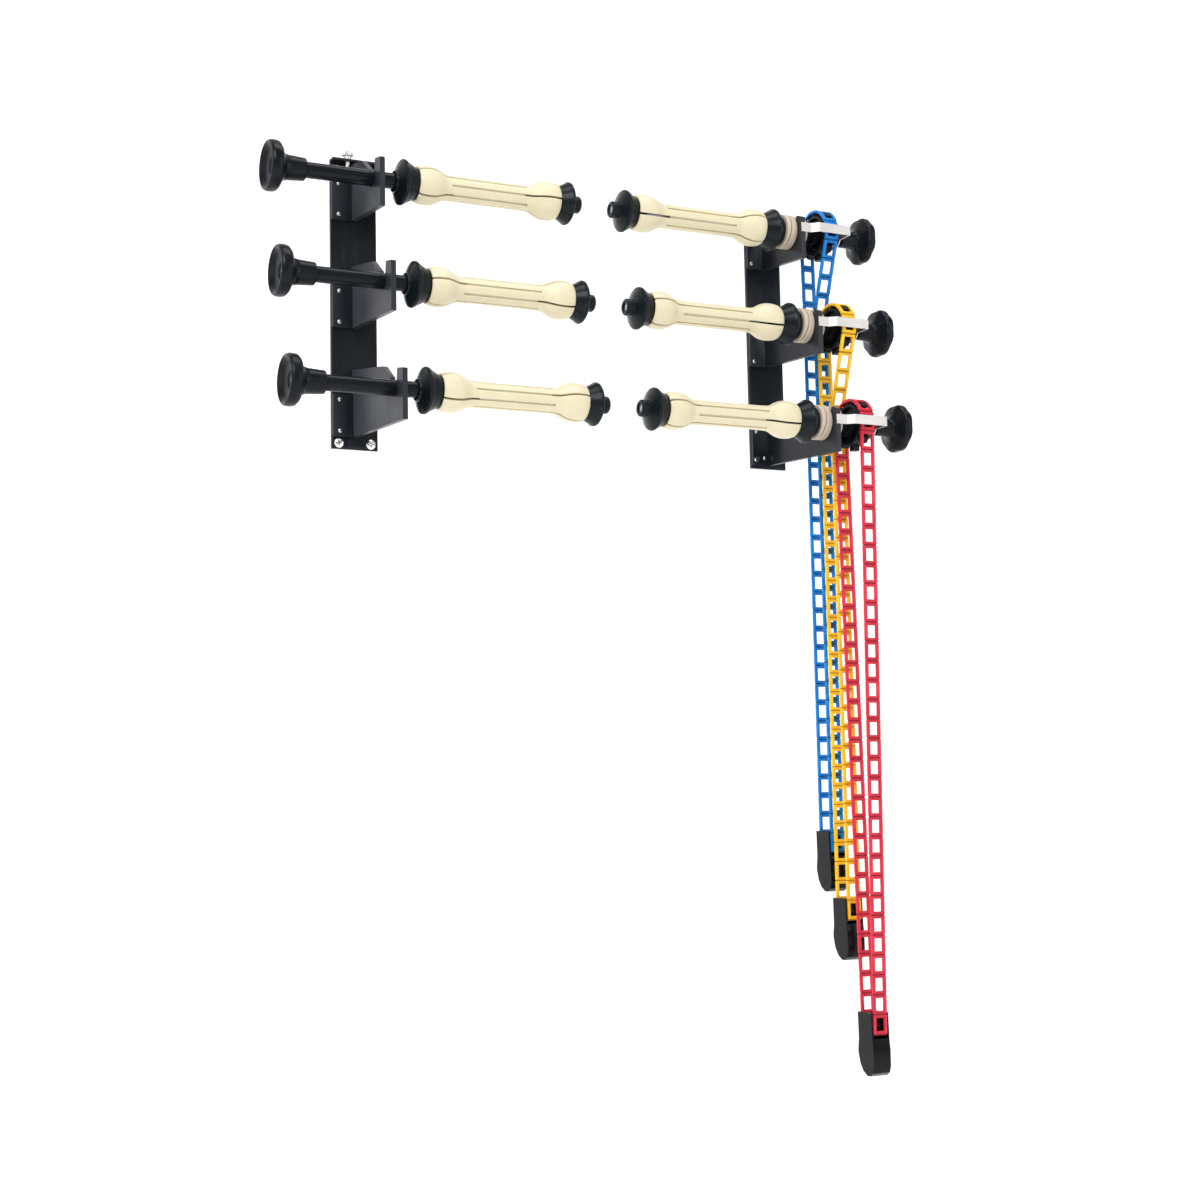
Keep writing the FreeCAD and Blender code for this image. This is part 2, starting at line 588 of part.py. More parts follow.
def chain(name, axis_y, axis_z, front, back, bent, straight):
    """One closed loop: eight-sided over the wheel, two strands and the cross link in the weight."""
    ring = D["chain_pitch"] / 2 / math.sin(math.pi / 8)
    over = [(axis_y + ring * math.cos(math.radians(a)), axis_z + ring * math.sin(math.radians(a)))
            for a in (-22.5, 22.5, 67.5, 112.5, 157.5, 202.5)]
    if bent:
        knees = [knee_of(over[-1], front, bent), knee_of(over[0], back, bent)]
    else:
        knees = [over[-1], over[0]]
    drop = knees[0][1] - straight * D["chain_pitch"] * 0.998
    fore = strand(over[-1], knees[0], (front, drop), bent, straight)
    aft = strand(over[0], knees[1], (back, drop), bent, straight)
    points = list(reversed(aft)) + over + fore
    links = [link(p, q, D["sprocket_mid"], trim=link_trim(p, q)) for p, q in zip(points, points[1:])]
    links.append(link(fore[-1], aft[-1], D["sprocket_mid"], trim=D["chain_thick"] / 2 + 0.1))
    group(name, links)
    return (front + back) / 2, drop


def link_trim(p, q):
    """Links on the wheel are a little shorter, so their corners stay apart on the inside of the bend."""
    return 0.75 if abs(q[0] - p[0]) > 6 else 0.45


def weight(name, y, z):
    """Hollow-topped weight that hangs from the loop on its peg."""
    body = new_body(name)
    half = ref("weight_wide", 0.5)
    low = D["weight_over"] - D["weight_tall"]
    f, b = "weight_front", "weight_back"
    side = new_sketch(body, "YZ_Plane")
    polygon(side, [(ref(f, -1, 2.5), ref("weight_over")), (ref(b, 1, -1.3), ref("weight_over")),
                   (ref(b, 1, -1.9), -6), (ref(b), -18), (ref(b), low + 26), (ref(b, 1, -3.3), low + 14),
                   (ref(b, 1, -9.3), low + 5), (0, low), (ref(f, -1, 8.5), low),
                   (ref(f, -1, 2.5), low + 4), (ref(f, -1), low + 12), (ref(f, -1), -18),
                   (ref(f, -1, 1.5), -6)])
    pad(body, side, ref("weight_wide"))
    recess = new_sketch(body, "YZ_Plane", ref("weight_wide", 0.5, -D["recess_wide"] / 2))
    floor = D["weight_over"] - D["recess_down"]
    rectangle(recess, -30, floor, 13.9, D["weight_over"] + 5)
    cut_blind(body, recess, ref("recess_wide"), back=True)
    peg = new_sketch(body, "YZ_Plane", 1)
    circle(peg, 0, 9.2, ref("peg_rad"))
    pad(body, peg, ref("weight_wide", 1, -2), name="_peg")
    place(body, ref("sprocket_mid", 1, -number(half)), y, z)


CHAINS = {
    # row: front strand, back strand, bent links, straight links
    "top": (-71.5, -48.5, 4, 29),
    "middle": (-103.5, -80.5, 4, 27),
    "bottom": (-138 - 11.5, -138 + 11.5, 0, 31),
}
for row, (front, back, bent, straight) in CHAINS.items():
    depth, axis, up = ROWS[row]
    y, z = chain(f"chain_{row}", -D[depth], up * D[axis], front, back, bent, straight)
    weight(f"chain_weight_{row}", y, z)

# ---------------------------------------------------------------- check and export

doc.recompute()
problems = []
for thing in doc.Objects:
    if "Invalid" in thing.State or "Error" in thing.State:
        problems.append(f"{thing.Name}: {thing.State}")
for name, thing in exports.items():
    if thing.Shape.isNull() or not thing.Shape.isValid():
        problems.append(f"{name}: shape")
if problems:
    raise RuntimeError("; ".join(problems))
for name, thing in exports.items():
    thing.Shape.exportStep(os.path.join("parts", name + ".step"))
    box = thing.Shape.BoundBox
    print(f"{name:26s} solids {len(thing.Shape.Solids):3d} volume {thing.Shape.Volume:10.0f} "
          f"x {box.XMin:7.1f} {box.XMax:7.1f} y {box.YMin:7.1f} {box.YMax:7.1f} z {box.ZMin:7.1f} {box.ZMax:7.1f}")
print(len(exports), "parts")
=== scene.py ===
import math

import bmesh
import bpy
from mathutils import Matrix, Vector

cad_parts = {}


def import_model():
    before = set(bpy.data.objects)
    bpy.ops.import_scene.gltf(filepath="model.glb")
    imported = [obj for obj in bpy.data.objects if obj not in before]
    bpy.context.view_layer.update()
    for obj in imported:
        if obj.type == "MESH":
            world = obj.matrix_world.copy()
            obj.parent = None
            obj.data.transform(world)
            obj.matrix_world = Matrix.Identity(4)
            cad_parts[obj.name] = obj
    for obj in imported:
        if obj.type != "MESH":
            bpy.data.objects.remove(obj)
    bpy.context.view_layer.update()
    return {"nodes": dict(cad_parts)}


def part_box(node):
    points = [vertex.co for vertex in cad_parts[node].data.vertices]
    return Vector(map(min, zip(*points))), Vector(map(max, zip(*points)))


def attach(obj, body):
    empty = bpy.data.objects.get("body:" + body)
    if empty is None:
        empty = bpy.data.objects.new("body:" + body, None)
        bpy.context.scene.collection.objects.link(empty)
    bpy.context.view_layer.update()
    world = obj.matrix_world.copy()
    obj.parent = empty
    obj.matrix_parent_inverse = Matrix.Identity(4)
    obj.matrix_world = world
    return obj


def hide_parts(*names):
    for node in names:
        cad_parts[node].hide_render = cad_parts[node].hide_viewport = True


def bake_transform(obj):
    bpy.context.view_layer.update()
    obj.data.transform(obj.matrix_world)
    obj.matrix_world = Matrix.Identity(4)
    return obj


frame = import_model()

# Looks for the two backdrop roller brackets.  Millimetres in the profiles, metres in the scene.

MM = 0.001
ROWS = ("top", "middle", "bottom")
SIDES = ("idle", "drive")
CHAIN_COLOURS = {"top": "blue", "middle": "yellow", "bottom": "red"}
RING_RADIUS = 26.0
SLEEVE_ENDS = (16, 191)  # along a bar, from its inner flange's ring
LATHE_STEPS = 96
WELD = 2e-6  # CAD points nearer than this, in metres, are one point
SHADE_LAYER = "shade"  # a chain point's painted shade: 0 on the rails, more on the cross bars, 1 on the hinges sunk between links
# how far the painted shade darkens the chain's colour
HINGE_DARKNESS = 0.45


# ---------------------------------------------------------------- materials

class Nodes:
    """Short way to write a node tree."""

    def __init__(self, name):
        self.mat = bpy.data.materials.new(name)
        self.mat.use_nodes = True
        self.tree = self.mat.node_tree
        self.shader = self.tree.nodes["Principled BSDF"]
        self.where = self.add("ShaderNodeTexCoord").outputs["Object"]

    def add(self, kind, **props):
        node = self.tree.nodes.new(kind)
        for key, value in props.items():
            setattr(node, key, value)
        return node

    def link(self, source, target):
        self.tree.links.new(source, target)

    def set(self, **sockets):
        for key, value in sockets.items():
            self.shader.inputs[key.replace("_", " ")].default_value = value

    def stretched(self, scale):
        node = self.add("ShaderNodeMapping")
        node.inputs["Scale"].default_value = scale
        self.link(self.where, node.inputs["Vector"])
        return node.outputs["Vector"]

    def noise(self, scale, detail=4.0, rough=0.55, stretch=(1, 1, 1)):
        node = self.add("ShaderNodeTexNoise")
        node.inputs["Scale"].default_value = scale
        node.inputs["Detail"].default_value = detail
        node.inputs["Roughness"].default_value = rough
        self.link(self.stretched(stretch), node.inputs["Vector"])
        return node.outputs["Fac"]

    def remap(self, source, low, high, to_low, to_high):
        node = self.add("ShaderNodeMapRange")
        for key, value in (("From Min", low), ("From Max", high), ("To Min", to_low), ("To Max", to_high)):
            node.inputs[key].default_value = value
        self.link(source, node.inputs["Value"])
        return node.outputs["Result"]

    def math(self, operation, a, b):
        node = self.add("ShaderNodeMath", operation=operation)
        for socket, value in zip(node.inputs, (a, b)):
            if isinstance(value, (int, float)):
                socket.default_value = value
            else:
                self.link(value, socket)
        return node.outputs[0]

    def mix(self, factor, a, b):
        node = self.add("ShaderNodeMix", data_type="RGBA")
        for key, value in ((0, factor), (6, a), (7, b)):
            if isinstance(value, (int, float)):
                node.inputs[key].default_value = value
            elif isinstance(value, tuple):
                node.inputs[key].default_value = (*value, 1.0)
            else:
                self.link(value, node.inputs[key])
        return node.outputs[2]

    def edges(self, low=0.52, high=0.58):
        """1 on sharp outer edges, 0 elsewhere."""
        return self.remap(self.add("ShaderNodeNewGeometry").outputs["Pointiness"], low, high, 0.0, 1.0)

    def bump(self, height, strength, distance):
        node = self.add("ShaderNodeBump")
        node.inputs["Strength"].default_value = strength
        node.inputs["Distance"].default_value = distance
        self.link(height, node.inputs["Height"])
        self.link(node.outputs["Normal"], self.shader.inputs["Normal"])

    def colour(self, source):
        self.link(source, self.shader.inputs["Base Color"])

    def roughness(self, source):
        self.link(source, self.shader.inputs["Roughness"])


def powder_coat():
    """Satin blue-black coat on the plates and arms: fine orange peel, soft scuffs mixed with painted sheen
    streaks, rubbed edges with a painted edge highlight.
    """
    n = Nodes("powder_coat")
    peel = n.noise(1500, 3, 0.5)
    cloud = n.noise(9, 5, 0.6)
    # painted sheen: lighter vertical streaks that stand for sheen and reflections on the coat as well as for
    # scuffs
    scuffs_and_sheen = n.remap(n.noise(60, 6, 0.7, stretch=(3.0, 1.0, 0.35)), 0.56, 0.74, 0.0, 1.0)
    base = n.mix(cloud, (0.004, 0.005, 0.008), (0.011, 0.014, 0.019))
    scuffed_and_sheened = n.mix(n.math("MULTIPLY", scuffs_and_sheen, 0.28), base, (0.06, 0.07, 0.09))
    # painted edge highlight: sharp edges made lighter, partly rub wear and partly highlight
    worn_and_lit_edges = n.mix(n.math("MULTIPLY", n.edges(0.53, 0.62), 0.35), scuffed_and_sheened, (0.11, 0.12, 0.14))
    n.colour(worn_and_lit_edges)
    n.roughness(n.math("ADD", n.remap(cloud, 0.3, 0.7, 0.26, 0.40), n.math("MULTIPLY", scuffs_and_sheen, 0.18)))
    n.bump(peel, 0.12, 0.0004)
    n.set(Specular_IOR_Level=0.4, IOR=1.3, Coat_Weight=0.05, Coat_Roughness=0.2)
    return n.mat


def black_plastic(name, gloss, tint, grain=900):
    """Moulded black plastic with a faint grain and handling marks."""
    n = Nodes(name)
    cloud = n.noise(22, 4, 0.6)
    marks = n.remap(n.noise(180, 5, 0.75), 0.60, 0.78, 0.0, 1.0)
    dark = tuple(c * 0.55 for c in tint)
    base = n.mix(cloud, dark, tint)
    base = n.mix(n.math("MULTIPLY", marks, 0.12), base, tuple(min(1.0, c * 5) for c in tint))
    n.colour(n.mix(n.math("MULTIPLY", n.edges(0.54, 0.66), 0.22), base, (0.09, 0.10, 0.12)))
    n.roughness(n.math("ADD", n.remap(cloud, 0.3, 0.7, gloss - 0.05, gloss + 0.06),
                       n.math("MULTIPLY", marks, 0.15)))
    n.bump(n.noise(grain, 3, 0.5), 0.08, 0.0003)
    n.set(Specular_IOR_Level=0.4, IOR=1.28)
    return n.mat


def cream_plastic():
    """Ivory polypropylene of the expander sleeves: slightly translucent, mottled, with painted shade that
    makes the slits and hollows darker and yellower.
    """
    n = Nodes("cream_plastic")
    mottle = n.noise(38, 5, 0.6)
    streak = n.noise(260, 3, 0.5, stretch=(0.05, 1, 1))
    base = n.mix(mottle, (0.66, 0.59, 0.40), (0.73, 0.67, 0.49))
    base = n.mix(n.math("MULTIPLY", streak, 0.16), base, (0.60, 0.52, 0.33))
    # painted shade: hollows and slit walls get a darker, yellower colour
    hollow_shade = n.remap(n.add("ShaderNodeNewGeometry").outputs["Pointiness"], 0.40, 0.49, 1.0, 0.0)
    n.colour(n.mix(n.math("MULTIPLY", hollow_shade, 0.45), base, (0.46, 0.38, 0.18)))
    n.roughness(n.remap(mottle, 0.3, 0.7, 0.30, 0.42))
    n.bump(n.noise(700, 3, 0.5), 0.06, 0.0003)
    n.set(Subsurface_Weight=0.35, Subsurface_Radius=(0.006, 0.0045, 0.0025), Subsurface_Scale=1.0,
          Specular_IOR_Level=0.35)
    return n.mat


def turned_tan():
    """Beige-grey nylon of the bushes, with concentric turning marks."""
    n = Nodes("turned_tan")
    cloud = n.noise(45, 4, 0.6)
    rings = n.noise(420, 2, 0.4, stretch=(1, 0.02, 0.02))
    base = n.mix(cloud, (0.50, 0.405, 0.32), (0.64, 0.54, 0.44))
    n.colour(n.mix(n.math("MULTIPLY", rings, 0.3), base, (0.40, 0.32, 0.25)))
    n.roughness(n.remap(cloud, 0.3, 0.7, 0.42, 0.56))
    n.bump(rings, 0.12, 0.0003)
    n.set(Subsurface_Weight=0.06, Subsurface_Radius=(0.003, 0.002, 0.001), Subsurface_Scale=0.5)
    return n.mat


def chain_plastic(name, light, dark):
    """Glossy dyed plastic of a chain, uneven from link to link, with painted shade darkening its cross bars
    and hinges.
    """
    n = Nodes(name)
    patch = n.noise(34, 3, 0.6)
    dyed = n.mix(n.remap(patch, 0.35, 0.65, 0.0, 1.0), dark, light)
    shade = n.add("ShaderNodeAttribute", attribute_name=SHADE_LAYER).outputs["Fac"]
    # painted shade: the colour darkens where the shade layer is high, on the hinges and cross bars
    n.colour(n.mix(shade, dyed, tuple(c * HINGE_DARKNESS for c in dark)))
    n.roughness(n.remap(n.noise(150, 3, 0.6), 0.3, 0.7, 0.30, 0.46))
    n.bump(n.noise(1100, 2, 0.5), 0.05, 0.0002)
    n.set(Specular_IOR_Level=0.26)
    return n.mat


def brushed(name, light, dark, rough, stretch, lines=0.2):
    """Bare metal with fine lines along its working direction."""
    n = Nodes(name)
    grain = n.noise(1400, 3, 0.6, stretch=stretch)
    cloud = n.noise(30, 4, 0.6)
    n.colour(n.mix(n.remap(grain, 0.35, 0.65, 0.0, 1.0), dark, light))
    n.roughness(n.math("ADD", n.remap(cloud, 0.3, 0.7, rough - 0.05, rough + 0.08),
                       n.math("MULTIPLY", grain, 0.08)))
    n.bump(grain, lines, 0.0002)
    n.set(Metallic=1.0)
    return n.mat


MATERIALS = {
    "coat": powder_coat(),
    "tube": black_plastic("tube_enamel", 0.22, (0.007, 0.009, 0.013), grain=600),
    "cone": black_plastic("cone_plastic", 0.26, (0.007, 0.011, 0.014)),
    "knob": black_plastic("knob_plastic", 0.27, (0.006, 0.008, 0.011)),
    "wheel": black_plastic("sprocket_plastic", 0.40, (0.006, 0.006, 0.007)),
    "weight": black_plastic("weight_plastic", 0.16, (0.007, 0.007, 0.009)),
    "cream": cream_plastic(),
    "tan": turned_tan(),
    "blue": chain_plastic("chain_blue_plastic", (0.001, 0.235, 0.700), (0.001, 0.160, 0.530)),
    "yellow": chain_plastic("chain_yellow_plastic", (0.980, 0.600, 0.022), (0.920, 0.480, 0.010)),
    "red": chain_plastic("chain_red_plastic", (0.730, 0.028, 0.060), (0.560, 0.016, 0.038)),
    "guide": brushed("guide_aluminium", (0.72, 0.70, 0.68), (0.58, 0.56, 0.55), 0.42, (0.04, 1, 1)),
    "spindle": brushed("spindle_steel", (0.62, 0.62, 0.62), (0.42, 0.42, 0.43), 0.30, (0.05, 1, 1)),
    "chrome": brushed("screw_chrome_plate", (0.88, 0.88, 0.89), (0.78, 0.78, 0.80), 0.10, (1, 1, 1), 0.04),
    "nickel": brushed("lock_screw_nickel", (0.80, 0.79, 0.76), (0.62, 0.61, 0.58), 0.26, (1, 1, 0.1)),
    "rivet": brushed("rivet_aluminium", (0.74, 0.74, 0.75), (0.56, 0.56, 0.58), 0.28, (1, 1, 1), 0.08),
}


# ---------------------------------------------------------------- meshes

def new_piece(name, mesh, material, body, nodes):
    """Put a finished mesh in the scene in place of CAD nodes.  body is None for a piece that is attached to
    no body here.
    """
    piece = bpy.data.objects.new(name, mesh)
    bpy.context.scene.collection.objects.link(piece)
    mesh.materials.clear()
    mesh.materials.append(MATERIALS[material])
    if body:
        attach(piece, body)
    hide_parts(*nodes)
    return piece


def smooth(mesh, angle=32):
    mesh.polygons.foreach_set("use_smooth", [True] * len(mesh.polygons))
    mesh.set_sharp_from_angle(angle=math.radians(angle))


def rounded(outline, radius, steps=4):
    """The closed outline with each corner turned into an arc; a third number sets a corner's own radius."""
    made = []
    count = len(outline)
    for i, point in enumerate(outline):
        here = Vector(point[:2])
        want = point[2] if len(point) > 2 else radius
        before, after = Vector(outline[i - 1][:2]) - here, Vector(outline[(i + 1) % count][:2]) - here
        if want <= 0 or before.length < 1e-6 or after.length < 1e-6:
            made.append(tuple(here))
            continue
        half = before.angle(after) / 2
        if half > math.radians(87):
            made.append(tuple(here))
            continue
        reach = min(want / math.tan(half), before.length * 0.45, after.length * 0.45)
        a, b = here + before.normalized() * reach, here + after.normalized() * reach
        for k in range(steps + 1):
            t = k / steps
            made.append(tuple(a * (1 - t) ** 2 + here * 2 * t * (1 - t) + b * t ** 2))
    return made


def mesh_from(name, vertices, faces, weld=0.0):
    """A mesh with outward normals, without points that no face uses, and welded where points meet."""
    mesh = bpy.data.meshes.new(name)
    mesh.from_pydata(vertices, [], faces)
    mesh.update()
    work = bmesh.new()
    work.from_mesh(mesh)
    bmesh.ops.delete(work, geom=[v for v in work.verts if not v.link_faces], context="VERTS")
    if weld:
        bmesh.ops.remove_doubles(work, verts=work.verts, dist=weld)
    bmesh.ops.recalc_face_normals(work, faces=work.faces)
    work.to_mesh(mesh)
    work.free()
    return mesh


def join(vertices, faces, points, polygons):
    """Append points, and the polygons that number them, to a mesh in the making."""
    base = len(vertices)
    vertices.extend(tuple(p) for p in points)
    faces.extend([base + i for i in polygon] for polygon in polygons)


def lathe_mesh(name, outline, steps=LATHE_STEPS, shape=None):
    """Turn a closed (x, radius) outline in mm about X.  shape(angle, x, radius) gives a moved (x, radius)."""
    vertices, faces = [], []
    for k in range(steps):
        angle = 2 * math.pi * k / steps
        for x, r in (shape(angle, *point) for point in outline) if shape else outline:
            vertices.append((x * MM, r * math.cos(angle) * MM, r * math.sin(angle) * MM))
    count = len(outline)
    for k in range(steps):
        a, b = k * count, (k + 1) % steps * count
        for i in range(count):
            j = (i + 1) % count
            faces.append((a + i, a + j, b + j, b + i))
    return mesh_from(name, vertices, faces)


def centre_of(node):
    low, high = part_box(node)
    return (low + high) / 2


def bar_matrix(side, row):
    """From a bar's own axis, u = 0 at the inner flange's ring and +u to the tip, to the row frame."""
    low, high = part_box(f"{side}_sleeve_{row}")
    middle = (low + high) / 2
    start = low.x - SLEEVE_ENDS[0] * MM if side == "idle" else high.x + SLEEVE_ENDS[0] * MM
    turn = Matrix.Rotation(0 if side == "idle" else math.pi, 4, "Z")
    return Matrix.Translation((start, middle.y, middle.z)) @ turn


def islands_of(node):
    """The corner points of each separate solid in a CAD node."""
    work = bmesh.new()
    work.from_mesh(frame["nodes"][node].data)
    bmesh.ops.remove_doubles(work, verts=work.verts, dist=WELD)
    seen, found = set(), []
    for start in work.verts:
        if start in seen:
            continue
        stack, island = [start], []
        seen.add(start)
        while stack:
            v = stack.pop()
            island.append(v.co.copy())
            for e in v.link_edges:
                o = e.other_vert(v)
                if o not in seen:
                    seen.add(o)
                    stack.append(o)
        found.append(island)
    work.free()
    return found


# ---------------------------------------------------------------- cones, tubes and knobs

def idle_inner_cone():
    return rounded([(-10, 9.05), (-10, 12), (-7.5, 12.6, 1.5), (-2.2, 25.0, 0.8), (-1.2, RING_RADIUS, 0.8),
                    (1.0, RING_RADIUS, 0.8), (2.6, 24.6, 0.8), (17, 16.9, 0.6), (30, 11.2), (30, 5.4),
                    (0, 5.4), (0, 9.05)], 0.5)


def drive_inner_cone():
    return rounded([(-98, 5.4), (-98, 9.0), (-11.9, 9.0, 0.2), (-11.9, 17.0), (-10.9, 18.0, 0.8),
                    (-9.7, 18.0), (-9.2, 17.2, 0.2), (-8.5, 17.2, 0.2), (-8.0, 18.0), (-6.5, 18.0, 1.2),
                    (-2.2, 25.0, 0.8), (-1.2, RING_RADIUS, 0.8), (1.0, RING_RADIUS, 0.8), (2.6, 24.6, 0.8),
                    (17, 16.9, 0.6), (30, 11.2), (30, 5.4)], 0.5)


def outer_cone():
    return rounded([(178, 5.4), (178, 11.4), (190, 16.8, 0.6), (202.5, 23.8, 0.8), (204, 25.0, 0.8),
                    (206, 25.0, 0.8), (207.2, 23.6, 0.8), (211, 14.5, 1.5), (212.2, 10.0, 1.0),
                    (213.6, 10.0, 0.2), (213.9, 9.5, 0.1), (214.7, 9.5, 0.1), (215.0, 10.0, 0.2),
                    (220.5, 10.0, 1.2), (222, 8.6, 0.8), (222, 5.4, 0.5)], 0.5)


def idle_tube():
    return rounded([(-113, 5.4), (-113, 9.0), (0, 9.0), (0, 5.4)], 0.5)


def idle_knob():
    """Dished face, fat rounded rim and a hub that tapers to the tube."""
    return rounded([(-150, 5.1, 0), (-150, 8.5, 0.6), (-151.2, 9.6, 0.6), (-152.4, 19.0, 4.0),
                    (-157, 24.0, 1.5), (-158, 25.2, 0.6), (-157.6, 27.0, 1.5), (-155, 28.3, 2.0),
                    (-151, 28.5, 3.0), (-146.5, 27.9, 4.0), (-143.6, 24.8, 4.0), (-141.6, 19.5, 3.0),
                    (-138.6, 15.4, 4.0), (-133.5, 14.0, 5.0), (-118, 12.9, 1.0), (-114.6, 12.7, 0.8),
                    (-114, 12.0, 0.4), (-114, 5.1, 0)], 0.6, 5)


def drive_knob():
    return rounded([(-131, 5.1, 0), (-131.8, 16.0, 3.0), (-136.4, 22.0, 1.5), (-137.9, 26.0, 0.8),
                    (-136.8, 28.6, 1.4), (-134.2, 29.4, 1.8), (-130, 29.4, 2.5), (-127.6, 28.0, 2.4),
                    (-124, 17.0, 3.0), (-121, 12.2, 3.0), (-118, 10.9, 2.0), (-104, 10.5, 1.0),
                    (-100.8, 10.2, 0.6), (-100, 9.4, 0.3), (-100, 5.1, 0)], 0.5, 4)


def lobed(angle, x, r):
    """Eight soft flats round the rim of a driven knob."""
    depth, hub, fade = 1.3, 17.0, 8.0
    flat = (0.5 + 0.5 * math.cos(8 * (angle - math.pi / 2))) ** 1.4
    return x, r - depth * flat * min(1.0, max(0.0, (r - hub) / fade))


def gripped(angle, x, r):
    """Shallow grip flutes on the boss behind the tip."""
    boss_from, boss_radius, depth = 215.5, 8.0, 0.35
    if x < boss_from or r < boss_radius:
        return x, r
    return x, r - depth * max(0.0, math.cos(16 * angle)) ** 2


def add_turned(name, outline, side, row, material, body, node, slot, **shaping):
    """A turned piece on a bar's axis, in place of its CAD node."""
    mesh = lathe_mesh(name, outline, **shaping)
    mesh.transform(bar_matrix(side, row))
    smooth(mesh)
    new_piece(name, mesh, material, body, [node])


def add_bar(side, row):
    """The flange, tip flange and knob of one bar."""
    idle = side == "idle"
    add_turned(f"{side}_flange_{row}", idle_inner_cone() if idle else drive_inner_cone(), side, row,
               "cone", f"{side}_bar_{row}", f"{side}_inner_cone_{row}", "cone_plastic")
    add_turned(f"{side}_tip_flange_{row}", outer_cone(), side, row,
               "cone", f"{side}_tip_{row}", f"{side}_outer_cone_{row}", "cone_plastic",
               shape=gripped, steps=192)
    add_turned(f"{side}_grip_{row}", idle_knob() if idle else drive_knob(), side, row,
               "knob", f"{side}_knob_{row}", f"{side}_knob_{row}", "knob_plastic",
               shape=None if idle else lobed, steps=160)


for row in ROWS:
    for side in SIDES:
        add_bar(side, row)
    add_turned(f"idle_pipe_{row}", idle_tube(), "idle", row,
               "tube", f"idle_bar_{row}", f"idle_tube_{row}", "tube_paint")


# ---------------------------------------------------------------- expander sleeves

SLEEVE_OUTSIDE = [(16, 19.6), (17, 20.3), (19, 21.2), (22, 22.0), (26, 22.45), (30, 22.5), (34, 22.1),
                  (38, 21.1), (42, 19.4), (46, 17.2), (49, 15.7), (53, 14.9), (60, 14.6), (80, 14.5)]
SLEEVE_INSIDE = [(16, 18.1), (16.6, 17.6), (32, 10.6), (42, 8.0), (80, 8.0)]
SLIT_HALF = 1.2
SLIT_STOP = 40
NEAR_STOP, FAR_START = SLEEVE_ENDS[1] - SLIT_STOP, SLEEVE_ENDS[0] + SLIT_STOP  # where the slits end
GROOVE_FLOOR = 12.6  # the slits are only this deep (radius) between the two bulbs
GROOVE_FROM = 44
FLOOR_THICK, FLOOR_OVERLAP = 1, 0.15
STATION_STEP, STATION_COUNT, STATION_GAP = 8, 12, 0.2
SECTORS, SECTOR_COLUMNS = 8, 10
AROUND = SECTORS * (SECTOR_COLUMNS + 1)
SLEEVE_ROLL = {"idle": {"top": -41, "middle": -12, "bottom": 31},
               "drive": {"top": 27, "middle": -20, "bottom": -21}}


def both_ends(half):
    """A profile of one end and its mirror image at the other."""
    total = SLEEVE_ENDS[0] + SLEEVE_ENDS[1]
    return half + [(total - x, r) for x, r in reversed(half)]


def radius_at(profile, x):
    for (x0, r0), (x1, r1) in zip(profile, profile[1:]):
        if x0 <= x <= x1:
            return r0 + (r1 - r0) * (x - x0) / max(1e-9, x1 - x0)
    return profile[-1][1]


def groove_floor(angle, start, stop):
    """The floor of one slit: a thin bar along the sleeve, a little wider than the slit."""
    half = SLIT_HALF + FLOOR_OVERLAP
    under = GROOVE_FLOOR - FLOOR_THICK
    out, side = Vector((math.cos(angle), math.sin(angle))), Vector((-math.sin(angle), math.cos(angle)))
    points = []
    for x in (start, stop):
        for r, w in ((under, -half), (under, half), (GROOVE_FLOOR, half), (GROOVE_FLOOR, -half)):
            y, z = out * r + side * w
            points.append((x * MM, y * MM, z * MM))
    polygons = [(k, (k + 1) % 4, 4 + (k + 1) % 4, 4 + k) for k in range(4)]
    return points, polygons + [(0, 3, 2, 1), (4, 5, 6, 7)]


def slit_columns(radius):
    """Angles round the sleeve; each sector runs from one slit's edge to the next slit's edge."""
    step = 2 * math.pi / SECTORS
    edge = math.asin(min(0.9, SLIT_HALF / radius))
    angles = []
    for sector in range(SECTORS):
        start, end = sector * step + edge, (sector + 1) * step - edge
        angles += [start + (end - start) * k / SECTOR_COLUMNS for k in range(SECTOR_COLUMNS + 1)]
    return angles


def has_plastic(stations, i, k):
    """Is there plastic between stations i and i+1 and columns k and k+1?"""
    if not 0 <= i < len(stations) - 1:
        return False
    k %= AROUND
    if k % (SECTOR_COLUMNS + 1) != SECTOR_COLUMNS:
        return True
    middle = (stations[i] + stations[i + 1]) / 2
    slit = ((k + 1) % AROUND) // (SECTOR_COLUMNS + 1)  # even ones start at the near end
    return middle > NEAR_STOP if slit % 2 == 0 else middle < FAR_START


def sleeve_faces(stations):
    """Faces over and under the plastic, and the walls where it stops."""
    faces, layer = [], len(stations) * AROUND
    for i in range(len(stations) - 1):
        for k in range(AROUND):
            if not has_plastic(stations, i, k):
                continue
            n = (k + 1) % AROUND
            a, b, c, d = i * AROUND + k, i * AROUND + n, (i + 1) * AROUND + n, (i + 1) * AROUND + k
            faces.append((a, d, c, b))
            faces.append((layer + a, layer + b, layer + c, layer + d))
            for there, (p, q) in (((i - 1, k), (a, b)), ((i + 1, k), (c, d)),
                                  ((i, k + 1), (b, c)), ((i, k - 1), (d, a))):
                if not has_plastic(stations, *there):
                    faces.append((p, q, layer + q, layer + p))
    return faces


